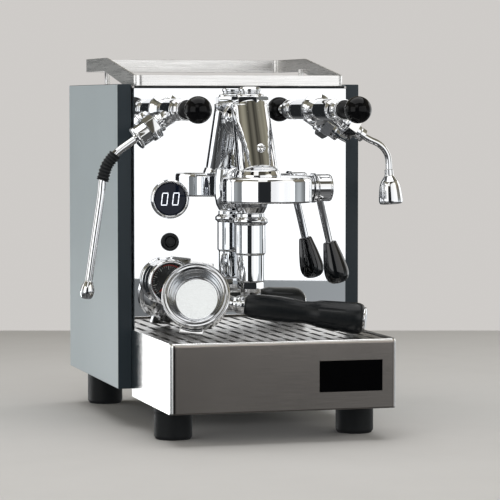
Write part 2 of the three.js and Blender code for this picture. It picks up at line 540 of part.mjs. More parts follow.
// ---- inside the casing ----
function internals() {
  const { half, front, back: rear, bottom, top } = TANK;
  const tank = box(-half, half, front, rear, bottom, top);
  const water = box(-half + 2, half - 2, front + 2, rear - 2, bottom + 2, top + 1);
  add('water_tank', cut(tank, water), TANK_PLASTIC);

  const lidUnder = COVER.top + CLEARANCE;
  const lid = box(-LID.half, LID.half, LID.front, LID.back, lidUnder, lidUnder + LID.thick);
  const knob = turned([[0, 0], [8, 0], [8.6, 6], [7, 8], [0, 8]],
    vec(0, (LID.front + LID.back) / 2, COVER.top + LID.thick), UP, 16);
  add('tank_lid', join(lid, knob), BRUSHED_STEEL);

  const boiler = [[0, 0], [38, 0], [48, 6], [52, 16], [52, 96], [48, 106], [38, 112], [0, 112]];
  add('boiler', turned(boiler, vec(0, 24, 262), vec(0, 1, 0), 20), COPPER);
  const pump = join(
    rod(vec(-70, 70, 84), vec(-70, 130, 84), 26, 26, 16),
    box(-92, -48, 40, 72, 62, 106),
    rod(vec(-70, 20, 92), vec(-70, 44, 92), 7, 7, 12),
  );
  add('pump', pump, BRASS);
  const back = BODY.depth;
  const block = (reach, rise, y0, y1) => box(INLET.x - reach, INLET.x + reach, y0, y1,
    INLET.z - rise, INLET.z + rise);
  const { halfWidth, halfHeight, flange, flangeRise } = INLET;
  const inlet = cut(
    join(block(halfWidth, halfHeight, back - INLET.depth, back + 1),
      block(halfWidth + flange, halfHeight + flangeRise, back - 0.2, back + 2.4)),
    block(11, 8.5, back - 16, back + 4),
  );
  add('power_inlet', inlet, BLACK_SATIN);
}

casing();
cupRail();
trayAndFeet();
brewGroup();
brewLever();
valve('steam', -1);
valve('water', 1);
wands();
instruments();
portafilter();
internals();

export default machine;
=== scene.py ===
"""Espresso machine: the finished surfaces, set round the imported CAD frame."""
import math

import bmesh
import bpy
from mathutils import Matrix, Vector


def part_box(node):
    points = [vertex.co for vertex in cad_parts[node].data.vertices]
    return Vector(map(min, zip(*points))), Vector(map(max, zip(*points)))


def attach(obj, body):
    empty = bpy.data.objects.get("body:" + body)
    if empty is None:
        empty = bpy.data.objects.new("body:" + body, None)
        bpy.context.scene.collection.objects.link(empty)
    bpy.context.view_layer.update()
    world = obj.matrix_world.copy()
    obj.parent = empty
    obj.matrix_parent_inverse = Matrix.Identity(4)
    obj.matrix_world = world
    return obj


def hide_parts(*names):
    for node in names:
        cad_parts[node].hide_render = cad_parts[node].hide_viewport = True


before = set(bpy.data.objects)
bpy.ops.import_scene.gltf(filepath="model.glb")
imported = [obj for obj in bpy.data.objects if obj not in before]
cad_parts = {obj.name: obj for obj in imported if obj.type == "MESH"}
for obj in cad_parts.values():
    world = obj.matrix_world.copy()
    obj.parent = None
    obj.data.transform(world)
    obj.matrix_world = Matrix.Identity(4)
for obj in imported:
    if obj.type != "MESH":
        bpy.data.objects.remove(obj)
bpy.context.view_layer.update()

MM = 0.001
UP = Vector((0, 0, 1))
FORWARD = Vector((0, -1, 0))
RIGHT = Vector((1, 0, 0))

# The machine is laid out from its centre plane and the front edges of its side
# panels, which are both read from the frame. Its sizes below are in millimetres.
CENTRE_X = sum(corner.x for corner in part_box("front_panel")) / 2
FRONT_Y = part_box("left_side_panel")[0].y


def at(x, y, z):
    return Vector((CENTRE_X + x * MM, FRONT_Y + y * MM, z * MM))


# ---- materials ----
def node(tree, kind, **values):
    made = tree.nodes.new(kind)
    for key, value in values.items():
        if key in made.inputs:
            made.inputs[key].default_value = value
        else:
            setattr(made, key, value)
    return made


def ramp(tree, source, low, high, bottom=0.0, top=1.0):
    """source, from bottom to top, spread over low to high."""
    made = node(tree, "ShaderNodeMapRange")
    ends = {"From Min": bottom, "From Max": top, "To Min": low, "To Max": high}
    for name, value in ends.items():
        made.inputs[name].default_value = value
    tree.links.new(source, made.inputs["Value"])
    return made.outputs["Result"]


# The spans that hold nearly all the values of the noises, and how deep a relief of full strength is.
TINT_SPAN, NOISE_SPAN = (0.1, 0.45), (0.3, 0.7)
BROAD_SCALE = 9.0
RELIEF = 0.2 * MM


def finish_material(name, colour, tint, metallic, rough, grain, scale, bump, **sockets):
    """A surface whose colour, roughness and relief vary with a stretched noise.

    colour and tint are the two ends of its colour, rough the two ends of its
    roughness, grain and scale the stretch of the noise along X, Y and Z and its
    fineness, bump the strength of its relief. sockets are set on the shader.
    """
    made = bpy.data.materials.new(name)
    made.use_nodes = True
    tree = made.node_tree
    shader = tree.nodes["Principled BSDF"]
    shader.inputs["Metallic"].default_value = metallic
    for key, value in sockets.items():
        shader.inputs[key.replace("_", " ")].default_value = value
    place = node(tree, "ShaderNodeTexCoord")
    stretch = node(tree, "ShaderNodeMapping")
    stretch.inputs["Scale"].default_value = grain
    tree.links.new(place.outputs["Object"], stretch.inputs["Vector"])
    fine = node(tree, "ShaderNodeTexNoise", Scale=scale, Detail=5.0)
    tree.links.new(stretch.outputs["Vector"], fine.inputs["Vector"])
    broad = node(tree, "ShaderNodeTexNoise", Scale=BROAD_SCALE, Detail=3.0)
    tree.links.new(place.outputs["Object"], broad.inputs["Vector"])
    mix = node(tree, "ShaderNodeMix", data_type="RGBA")
    mix.inputs["A"].default_value = (*colour, 1)
    mix.inputs["B"].default_value = (*tint, 1)
    both = node(tree, "ShaderNodeMath", operation="MULTIPLY")
    tree.links.new(fine.outputs["Fac"], both.inputs[0])
    tree.links.new(broad.outputs["Fac"], both.inputs[1])
    tree.links.new(ramp(tree, both.outputs[0], 0, 1, *TINT_SPAN), mix.inputs["Factor"])
    tree.links.new(mix.outputs["Result"], shader.inputs["Base Color"])
    tree.links.new(ramp(tree, fine.outputs["Fac"], *rough, *NOISE_SPAN), shader.inputs["Roughness"])
    if bump:
        relief = node(tree, "ShaderNodeBump", Strength=bump, Distance=RELIEF)
        tree.links.new(fine.outputs["Fac"], relief.inputs["Height"])
        tree.links.new(relief.outputs["Normal"], shader.inputs["Normal"])
    return made


EVEN = (1, 1, 1)
ALONG_X = (0.02, 1, 1)
ALONG_Y = (1, 0.02, 1)
CHROME = finish_material(
    "chrome", (0.85, 0.86, 0.875), (0.79, 0.8, 0.82), 1, (0.02, 0.045), EVEN, 40, 0)
MIRROR = finish_material(
    "mirror_steel", (0.93, 0.94, 0.95), (0.89, 0.9, 0.92), 1, (0.008, 0.02), EVEN, 12, 0)
BRUSHED_X = finish_material(
    "brushed_across", (0.92, 0.91, 0.9), (0.84, 0.83, 0.82), 1, (0.22, 0.36), ALONG_X, 1500, 0.25,
    Anisotropic=0.5)
# A darker copy of the brushed steel, brushed lengthwise; on the cup rail's side arms the darker colour is
# painted shade.
BRUSHED_Y_DARKER = finish_material(
    "brushed_lengthwise_darker", (0.66, 0.65, 0.64), (0.52, 0.51, 0.5), 1, (0.22, 0.38), ALONG_Y, 1500, 0.25,
    Anisotropic=0.5)
COVER_STEEL = finish_material(
    "brushed_cover", (0.54, 0.53, 0.52), (0.45, 0.44, 0.43), 1, (0.24, 0.38), ALONG_X, 1500, 0.25,
    Anisotropic=0.5)
# Two copies of the drip tray's steel: a bright one for its sides and rounded top edge, painted light, and a
# dark brown one for its front, a painted reflection.
LIT_TRAY_SIDE = finish_material(
    "brushed_tray_side_painted_light", (0.9, 0.9, 0.89), (0.84, 0.84, 0.83), 1, (0.14, 0.22), ALONG_Y, 1500, 0.05,
    Anisotropic=0.3)
FASCIA_PAINTED_REFLECTION = finish_material(
    "brushed_fascia_painted_reflection", (0.37, 0.335, 0.305), (0.28, 0.255, 0.235), 1, (0.13, 0.2), ALONG_X, 1500, 0.12,
    Anisotropic=0.4)
TURNED_STEEL = finish_material(
    "spun_steel", (0.56, 0.57, 0.59), (0.48, 0.49, 0.51), 1, (0.08, 0.14), EVEN, 300, 0.008)
# The basket floor's steel: a bright bluish copy of the spun steel, painted light.
LIT_DISC_STEEL = finish_material(
    "basket_floor_steel_painted_light", (0.9, 0.93, 0.95), (0.85, 0.88, 0.9), 1, (0.2, 0.28), EVEN, 900, 0.02)
# The side panels' paint in two copies of one paint: a light one for their outer faces, painted light, and a
# near-black one for their front, back and top edges, painted shade. The near-black copy is also the base
# plate's dark paint.
LIT_SIDE_PAINT = finish_material(
    "satin_paint_painted_light", (0.51, 0.58, 0.615), (0.475, 0.54, 0.575), 0, (0.36, 0.46), EVEN, 1400, 0.1,
    Specular_IOR_Level=0.06)
DARK_PAINT_AND_SHADED_EDGE = finish_material(
    "dark_paint_and_painted_edge_shade", (0.026, 0.038, 0.048), (0.021, 0.032, 0.041), 0, (0.32, 0.42), EVEN, 1400, 0.1,
    Specular_IOR_Level=0.3)
BLACK_GLOSS = finish_material(
    "black_gloss", (0.003, 0.003, 0.0035), (0.006, 0.006, 0.007), 0, (0.03, 0.07), EVEN, 80, 0,
    Specular_IOR_Level=0.14)
KNOB_BLACK = finish_material(
    "lever_knob_black", (0.004, 0.005, 0.006), (0.008, 0.009, 0.01), 0, (0.02, 0.05), EVEN, 80, 0,
    Specular_IOR_Level=0.65)
BADGE_BLACK = finish_material(
    "badge_black", (0.0006, 0.0006, 0.0008), (0.0012, 0.0012, 0.0016), 0, (0.08, 0.14), EVEN, 80, 0,
    Specular_IOR_Level=0.03)
BLACK_SATIN = finish_material(
    "black_satin", (0.007, 0.009, 0.011), (0.012, 0.014, 0.016), 0, (0.24, 0.36), EVEN, 1800, 0.2,
    Specular_IOR_Level=0.3)
RUBBER = finish_material(
    "rubber", (0.009, 0.011, 0.013), (0.015, 0.017, 0.019), 0, (0.5, 0.7), EVEN, 900, 0.4,
    Specular_IOR_Level=0.3)
NYLON = finish_material(
    "nylon", (0.012, 0.012, 0.013), (0.02, 0.02, 0.022), 0, (0.25, 0.4), EVEN, 600, 0.15)
WINDOW = finish_material(
    "display_window", (0.007, 0.011, 0.026), (0.01, 0.016, 0.034), 0, (0.03, 0.06), EVEN, 40, 0,
    Specular_IOR_Level=0.2)
DIAL = finish_material(
    "dial", (0.012, 0.013, 0.015), (0.018, 0.019, 0.022), 0, (0.45, 0.6), EVEN, 500, 0.1)
PRINT_WHITE = finish_material(
    "white_print", (0.8, 0.8, 0.78), (0.7, 0.7, 0.68), 0, (0.5, 0.6), EVEN, 500, 0.05)
PRINT_RED = finish_material(
    "red_print", (0.6, 0.05, 0.04), (0.5, 0.04, 0.03), 0, (0.45, 0.6), EVEN, 500, 0.05)
COPPER = finish_material(
    "copper", (0.78, 0.42, 0.27), (0.6, 0.3, 0.19), 1, (0.22, 0.4), EVEN, 200, 0.15)
BRASS = finish_material(
    "brass", (0.7, 0.52, 0.25), (0.58, 0.42, 0.19), 1, (0.25, 0.42), EVEN, 300, 0.2)
TANK_PLASTIC = finish_material(
    "tank_plastic", (0.75, 0.8, 0.82), (0.68, 0.73, 0.76), 0, (0.25, 0.4), EVEN, 400, 0.08,
    Transmission_Weight=0.6)
GLASS = finish_material(
    "clear_glass", (0.97, 0.98, 0.98), (0.94, 0.96, 0.96), 0, (0.0, 0.02), EVEN, 30, 0,
    Transmission_Weight=1.0, IOR=1.15)
DIGIT = finish_material(
    "lit_digit", (0.9, 0.93, 1.0), (0.8, 0.86, 1.0), 0, (0.4, 0.5), EVEN, 300, 0.02,
    Emission_Color=(0.9, 0.94, 1.0, 1), Emission_Strength=1.0)
FLOOR = finish_material(
    "floor", (0.66, 0.65, 0.64), (0.64, 0.63, 0.62), 0, (0.35, 0.42), EVEN, 20, 0.01,
    Specular_IOR_Level=0.0)


# ---- meshes ----
NEARLY_STRAIGHT = math.radians(165)
LONGEST_ROUND = 0.45
ROUND_STEPS = 4
QUARTER_STEPS = 12


def quarter(cx, cy, radius, start):
    """Points round a quarter turn, from the start angle in degrees."""
    angles = [math.radians(start + 90 * i / QUARTER_STEPS) for i in range(QUARTER_STEPS + 1)]
    return [(cx + radius * math.cos(angle), cy + radius * math.sin(angle)) for angle in angles]


def soften(profile, radius, closed):
    """The profile with its corners rounded, all but the ones that are nearly straight."""
    points = [Vector(point) for point in profile]
    count = len(points)
    result = []
    for i, point in enumerate(points):
        if not closed and i in (0, count - 1):
            result.append(point)
            continue
        before, after = points[i - 1] - point, points[(i + 1) % count] - point
        if before.length < 1e-6 or after.length < 1e-6:
            continue
        if before.angle(after) > NEARLY_STRAIGHT:
            result.append(point)
            continue
        reach = min(radius, LONGEST_ROUND * before.length, LONGEST_ROUND * after.length)
        first, last = point + before.normalized() * reach, point + after.normalized() * reach
        for step in range(ROUND_STEPS + 1):
            t = step / ROUND_STEPS
            result.append(first * (1 - t) ** 2 + point * 2 * t * (1 - t) + last * t * t)
    return result


def bmesh_object(bm, name, sharp=40):
    """A linked object from a bmesh, smooth except at edges sharper than the angle in degrees."""
    bmesh.ops.recalc_face_normals(bm, faces=bm.faces)
    limit = math.radians(sharp)
    for face in bm.faces:
        face.smooth = True
    for edge in bm.edges:
        edge.smooth = len(edge.link_faces) == 2 and edge.calc_face_angle(0) < limit
    mesh = bpy.data.meshes.new(name)
    bm.to_mesh(mesh)
    bm.free()
    made = bpy.data.objects.new(name, mesh)
    bpy.context.collection.objects.link(made)
    return made


def turned(profile, start, direction, sides=96, radius=0.4):
    """A lathe piece. The profile is [radius, height] from axis to axis, or a ring if it closes.

    radius is the rounding of its corners.
    """
    ring = profile[0] == profile[-1]
    points = soften(profile[:-1] if ring else profile, radius, ring)
    turn = UP.rotation_difference(direction.normalized()).to_matrix()
    bm = bmesh.new()
    rows = []
    for r, height in points:
        if r < 1e-6:
            rows.append([bm.verts.new(start + turn @ Vector((0, 0, height * MM)))])
            continue
        rows.append([
            bm.verts.new(start + turn @ (Vector((
                r * math.cos(2 * math.pi * i / sides),
                r * math.sin(2 * math.pi * i / sides),
                height)) * MM))
            for i in range(sides)
        ])
    pairs = list(zip(rows, rows[1:] + rows[:1])) if ring else list(zip(rows, rows[1:]))
    for low, high in pairs:
        for i in range(sides):
            j = (i + 1) % sides
            if len(low) == 1 and len(high) == 1:
                continue
            if len(low) == 1:
                bm.faces.new((low[0], high[i], high[j]))
            elif len(high) == 1:
                bm.faces.new((low[i], low[j], high[0]))
            else:
                bm.faces.new((low[i], low[j], high[j], high[i]))
    return bmesh_object(bm, "turned")


def rounded_box(low, high, bevel):
    """A box between two corners in metres, its edges rounded."""
    bm = bmesh.new()
    bmesh.ops.create_cube(bm, size=1)
    for vert in bm.verts:
        vert.co = Vector([low[k] if vert.co[k] < 0 else high[k] for k in range(3)])
    bmesh.ops.bevel(bm, geom=bm.edges[:], offset=bevel * MM, segments=3, profile=0.5, affect="EDGES")
    return bmesh_object(bm, "box", 60)


def prism(start, direction, across, height, sides, spin, chamfer):
    """A bar with flat sides and chamfered ends. across is corner to corner, spin in degrees."""
    half = across / 2
    turn = UP.rotation_difference(direction.normalized()).to_matrix()
    bm = bmesh.new()
    bmesh.ops.create_cone(
        bm, cap_ends=True, segments=sides, radius1=half * MM, radius2=half * MM, depth=height * MM)
    bmesh.ops.rotate(bm, verts=bm.verts, matrix=Matrix.Rotation(math.radians(spin), 3, "Z"))
    bmesh.ops.translate(bm, verts=bm.verts, vec=(0, 0, height / 2 * MM))
    bmesh.ops.bevel(bm, geom=bm.edges[:], offset=0.3 * MM, segments=2, profile=0.5, affect="EDGES")
    bmesh.ops.transform(bm, verts=bm.verts, matrix=Matrix.Translation(start) @ turn.to_4x4())
    bar = bmesh_object(bm, "prism", 25)
    flat, rim, slope, past = half - chamfer, half + 0.4, chamfer * 0.7, 0.01
    ends = turned([
        [0, -past], [flat, -past], [rim, slope], [rim, height - slope], [flat, height + past],
        [0, height + past]], start, direction, 48, 0.05)
    return boolean(bar, ends, "INTERSECT")


def spline(points, steps):
    """Points spread along a centripetal curve through the given ones."""
    padded = [points[0] * 2 - points[1], *points, points[-1] * 2 - points[-2]]
    result = []
    for k in range(1, len(padded) - 2):
        p0, p1, p2, p3 = padded[k - 1:k + 3]
        knots = [0.0]
        for a, b in ((p0, p1), (p1, p2), (p2, p3)):
            knots.append(knots[-1] + math.sqrt(max((b - a).length, 1e-9)))
        t0, t1, t2, t3 = knots
        for i in range(steps):
            t = t1 + (t2 - t1) * i / steps
            a1 = p0 * ((t1 - t) / (t1 - t0)) + p1 * ((t - t0) / (t1 - t0))
            a2 = p1 * ((t2 - t) / (t2 - t1)) + p2 * ((t - t1) / (t2 - t1))
            a3 = p2 * ((t3 - t) / (t3 - t2)) + p3 * ((t - t2) / (t3 - t2))
            b1 = a1 * ((t2 - t) / (t2 - t0)) + a2 * ((t - t0) / (t2 - t0))
            b2 = a2 * ((t3 - t) / (t3 - t1)) + a3 * ((t - t1) / (t3 - t1))
            result.append(b1 * ((t2 - t) / (t2 - t1)) + b2 * ((t - t1) / (t2 - t1)))
    return result + [points[-1]]


def sweep(points, radius, steps, sides=32):
    """A round bar along a curve. radius is a number, or a function of the share of the way along."""
    path = spline(points, steps)
    size = radius if callable(radius) else lambda share: radius
    bm = bmesh.new()
    heading = (path[1] - path[0]).normalized()
    side = heading.orthogonal().normalized()
    rows = []
    for i, centre in enumerate(path):
        ahead = (path[min(i + 1, len(path) - 1)] - path[max(i - 1, 0)]).normalized()
        side = (heading.rotation_difference(ahead) @ side).normalized()
        heading = ahead
        other = ahead.cross(side)
        r = size(i / (len(path) - 1)) * MM
        rows.append([
            bm.verts.new(centre + side * (r * math.cos(2 * math.pi * k / sides))
                         + other * (r * math.sin(2 * math.pi * k / sides)))
            for k in range(sides)
        ])
    for low, high in zip(rows, rows[1:]):
        for k in range(sides):
            j = (k + 1) % sides
            bm.faces.new((low[k], low[j], high[j], high[k]))
    bm.faces.new(rows[0][::-1])
    bm.faces.new(rows[-1])
    return bmesh_object(bm, "bar")


def boolean(base, other, operation):
    """base joined with, cut by or kept inside other, which is then deleted."""
    change = base.modifiers.new("shape", "BOOLEAN")
    change.operation, change.object, change.solver = operation, other, "EXACT"
    graph = bpy.context.evaluated_depsgraph_get()
    mesh = bpy.data.meshes.new_from_object(base.evaluated_get(graph))
    base.modifiers.clear()
    base.data = mesh
    bpy.data.objects.remove(other)
    return base


def union(first, *others):
    for other in others:
        boolean(first, other, "UNION")
    return first


def piece(obj, name, material, body, nodes=(), weighted=True):
    """Names a piece, gives it its finish, and sets it on its body in place of CAD nodes."""
    obj.name = obj.data.name = name
    for used in material if isinstance(material, (list, tuple)) else [material]:
        obj.data.materials.append(used)
    if weighted:
        even = obj.modifiers.new("even_normals", "WEIGHTED_NORMAL")
        even.keep_sharp = True
    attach(obj, body)
    if nodes:
        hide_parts(*nodes)
    return obj


def dress(name, material, bevel=0.0):
    """A CAD node that keeps its shape: it gets its material and rounded edges."""
    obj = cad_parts[name]
    obj.data.materials.clear()
    obj.data.materials.append(material)
    if bevel:
        edge = obj.modifiers.new("rounded_edges", "BEVEL")
        edge.width, edge.segments, edge.limit_method = bevel * MM, 2, "ANGLE"
        edge.angle_limit = math.radians(40)
        edge.harden_normals = True


# ---- casing ----
SEAL_AND_SHADOW_STRIP = {"half": 115, "front": -4.2, "back": -3.6, "low": 356.8, "high": 359.1}
# How far in from a side panel's front, back and top its faces take the near-black copy, painted shade.
SHADED_EDGE_BORDER = 0.4 * MM


def casing():
    for name in ("left_side_panel", "right_side_panel"):
        low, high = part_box(name)
        panel = rounded_box(low, high, 1.0)
        piece(panel, name + "_skin", [LIT_SIDE_PAINT, DARK_PAINT_AND_SHADED_EDGE], "machine", [name])
        # The outer face keeps the light copy, painted light; faces at the front, back and top edges take the
        # near-black copy, painted shade.
        for face in panel.data.polygons:
            y, z = face.center.y, face.center.z
            if y < low.y + SHADED_EDGE_BORDER or y > high.y - SHADED_EDGE_BORDER or z > high.z - SHADED_EDGE_BORDER:
                face.material_index = 1
    dress("front_panel", MIRROR, 0.7)
    dress("back_panel", BRUSHED_X, 0.2)
    dress("top_cover", COVER_STEEL, 0.3)
    dress("base_plate", DARK_PAINT_AND_SHADED_EDGE, 0.4)
    # A black rubber seal along the cover's front edge; the black strip also stands in for the dark shadow
    # line in the gap under the rail's front band, a painted shadow.
    half, front, back, low, high = (SEAL_AND_SHADOW_STRIP[k] for k in ("half", "front", "back", "low", "high"))
    seal = rounded_box(at(-half, front, low), at(half, back, high), 0.2)
    piece(seal, "cover_seal_and_shadow_strip", RUBBER, "machine")


# ---- cup rail ----
# The rail's lower edge climbs by low_rise from low_from over low_run, and its upper edge, height above
# the cover at the front, climbs by high_rise over high_run. post_in is how far in the two posts stand.
RAIL = {"half": 114.5, "front": -5, "back": 246, "corner": 8, "thick": 1.6, "base": 359.3,
        "low_rise": 17, "low_from": 45, "low_run": 100, "height": 11.3, "high_rise": 20.2, "high_run": 133,
        "post_y": 143, "post_in": 1.6, "post_radius": 3, "post_lap": 3}
RAIL_STATIONS = (20, 45, 90, 133, 145, 190)
# Edges of the strip that turn by more than this many radians are rounded.
SHARP = 0.9
COVER_SCREWS = [(x, y) for x in (-106, 106) for y in (38, 212)]
SCREW_BASE = 359.05


def cup_rail():
    half, front, back, corner, thick = (RAIL[k] for k in ("half", "front", "back", "corner", "thick"))
    base, post_y, post_radius = (RAIL[k] for k in ("base", "post_y", "post_radius"))

    def low_edge(y):
        return base + RAIL["low_rise"] * min(max((y - RAIL["low_from"]) / RAIL["low_run"], 0), 1)

    def high_edge(y):
        return base + RAIL["height"] + RAIL["high_rise"] * min(max(y / RAIL["high_run"], 0), 1)

    def plan(inset):
        reach, radius, near, far = half - inset, corner - inset, front + corner, back - corner
        return [
            *quarter(-half + corner, near, radius, 180),
            *quarter(half - corner, near, radius, 270),
            *((reach, y) for y in RAIL_STATIONS),
            *quarter(half - corner, far, radius, 0),
            *quarter(-half + corner, far, radius, 90),
            *((-reach, y) for y in reversed(RAIL_STATIONS)),
        ]

    bm = bmesh.new()
    rows = []
    for (ox, oy), (ix, iy) in zip(plan(0), plan(thick)):
        corners = ((ox, oy, low_edge(oy)), (ox, oy, high_edge(oy)),
                   (ix, iy, high_edge(iy)), (ix, iy, low_edge(iy)))
        rows.append([bm.verts.new(at(*point)) for point in corners])
    for here, ahead in zip(rows, rows[1:] + rows[:1]):
        for k in range(4):
            j = (k + 1) % 4
            bm.faces.new((here[k], here[j], ahead[j], ahead[k]))
    bmesh.ops.remove_doubles(bm, verts=bm.verts, dist=1e-6)
    long_edges = [edge for edge in bm.edges if edge.calc_face_angle(0) > SHARP]
    bmesh.ops.bevel(bm, geom=long_edges, offset=0.35 * MM, segments=2, profile=0.5, affect="EDGES")
    strip = bmesh_object(bm, "rail")
    posts = []
    for sign in (-1, 1):
        x = sign * (half - thick - RAIL["post_in"])
        top = low_edge(post_y) + RAIL["post_lap"] - base
        outline = [[0, 0], [post_radius, 0], [post_radius, top], [0, top]]
        posts.append(turned(outline, at(x, post_y, base), UP, 32))
    rail = union(strip, *posts)
    piece(rail, "cup_rail_strip", [BRUSHED_X, BRUSHED_Y_DARKER], "machine", ["cup_rail"])
    # The two long arms are brushed lengthwise, and take the darker copy of the steel as painted shade.
    for face in rail.data.polygons:
        if abs(face.normal.x) > 0.99:
            face.material_index = 1
    for number, (x, y) in enumerate(COVER_SCREWS):
        screw = turned([[0, 0], [2.9, 0], [2.8, 0.7], [2, 1.5], [0, 1.9]], at(x, y, SCREW_BASE), UP, 32)
        piece(screw, f"cover_screw_{number}", CHROME, "machine")


# ---- drip tray and feet ----
TRAY = {"half": 117.8, "front": -170, "bottom": 33, "top": 103.5, "corner": 5, "fold": 5.5, "sheet": 1.5,
        "lip": 3.2}
LEAST_CORNER = 0.6


def tray_block(inset, back, levels):
    """A solid on the tray's plan, square at the back and round at the front corners.

    levels lists (further inset, height) from the bottom up.
    """
    bm = bmesh.new()
    loops = []
    for extra, z in levels:
        half, corner = TRAY["half"] - inset - extra, max(TRAY["corner"] - inset - extra, LEAST_CORNER)
        front = TRAY["front"] + inset + extra
        plan = [(-half, back)]
        for sign, start in ((-1, 180), (1, 270)):
            cx = sign * (half - corner)
            bend = quarter(cx, front + corner, corner, start)
            # A point close beside each bend keeps the long flat front flat under smooth shading.
            beside = [(cx - sign, front)]
            plan.extend(bend + beside if sign < 0 else beside + bend)
        plan.append((half, back))
        loops.append([bm.verts.new(at(x, y, z)) for x, y in plan])
    for under, over in zip(loops, loops[1:]):
        for k in range(len(under)):
            j = (k + 1) % len(under)
            bm.faces.new((under[k], under[j], over[j], over[k]))
    bm.faces.new(loops[0][::-1])
    bm.faces.new(loops[-1])
    return bmesh_object(bm, "tray_block", 50)


def tray():
    low, high, lip, sheet = TRAY["bottom"], TRAY["top"], TRAY["lip"], TRAY["sheet"]
    back = TRAY["front"] + TRAY["fold"]
    steps = 6
    # The levels close beside the roundings keep the tall front flat under smooth shading.
    levels = [(0.8, low), (0.25, low + 0.25), (0, low + 0.8), (0, low + 1.6),
              (0, high - lip - 1), (0, high - lip)]
    for i in range(1, steps + 1):
        angle = math.radians(90 * i / steps)
        levels.append((lip * (1 - math.cos(angle)) * 0.5, high - lip + lip * math.sin(angle)))
    block = tray_block(0, back, levels)
    hollow = tray_block(sheet, back + 1, [(0, low - 1), (0, high - sheet)])
    fascia = boolean(block, hollow, "DIFFERENCE")
    piece(fascia, "tray_fascia", [FASCIA_PAINTED_REFLECTION, LIT_TRAY_SIDE], "machine", ["tray_front"],
          weighted=False)
    # The rounded top edge and the two sides take the bright copy of the steel, painted light; the front keeps
    # the dark brown copy, a painted reflection of a dim room.
    for face in fascia.data.polygons:
        if face.normal.z > 0.35 or abs(face.normal.x) > 0.45:
            face.material_index = 1
    dress("tray_housing", LIT_TRAY_SIDE, 0.5)
    dress("drip_pan", BRUSHED_Y_DARKER, 0.2)
    dress("drip_grid", BRUSHED_Y_DARKER, 0.35)
    dress("badge_plate", BADGE_BLACK, 1.2)

    for name in ("foot_front_left", "foot_front_right", "foot_rear_left", "foot_rear_right"):
        low_corner, high_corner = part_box(name)
        centre = (low_corner + high_corner) / 2
        radius, height = (high_corner.x - low_corner.x) / 2 / MM, high_corner.z / MM
        groove = radius - 0.8
        foot = turned([
            [0, 0], [radius - 2, 0], [radius, 3], [radius, height - 7], [groove, height - 6.4],
            [groove, height - 5.6], [radius, height - 5], [radius, height], [0, height]],
            Vector((centre.x, centre.y, 0)), UP, 72, 0.8)
        piece(foot, name + "_rubber", RUBBER, "machine", [name])


# ---- brew group ----
GROUP_Y, BELL_Y, COLUMN_Y, NOSE_Y = -40, -105, -42, -72
PANEL_FRONT = -6.3
UPPER_PORT, LOWER_PORT = 324, 252
CUP_SCREW = {"y": -82.4, "z": 295, "slope": (0, -0.907, 0.421), "gap": 0.3}
# back, collar and root are how far inward of x the hub, its collar and the arm begin.
LEVER = {"x": 77, "y": -50, "z": 252.5, "radius": 14.4, "tilt": 13.6, "bush_end": 64.2,
         "back": 8.1, "collar": 12.5, "root": 6.5}


def cone(start, end, first, last):
    """A solid between two points, its radius going from first to last."""
    line = end - start
    height = line.length / MM
    return turned([[0, 0], [first, 0], [last, height], [0, height]], start, line, 96, 1.2)


def panel_flange(radius, z):
    """The collar where a pipe of the group comes through the front panel."""
    outline = [[0, 0], [radius, 0], [radius, 3.4], [radius - 1.5, 4.9], [0, 4.9]]
    return turned(outline, at(0, PANEL_FRONT, z), FORWARD, 96, 0.8)


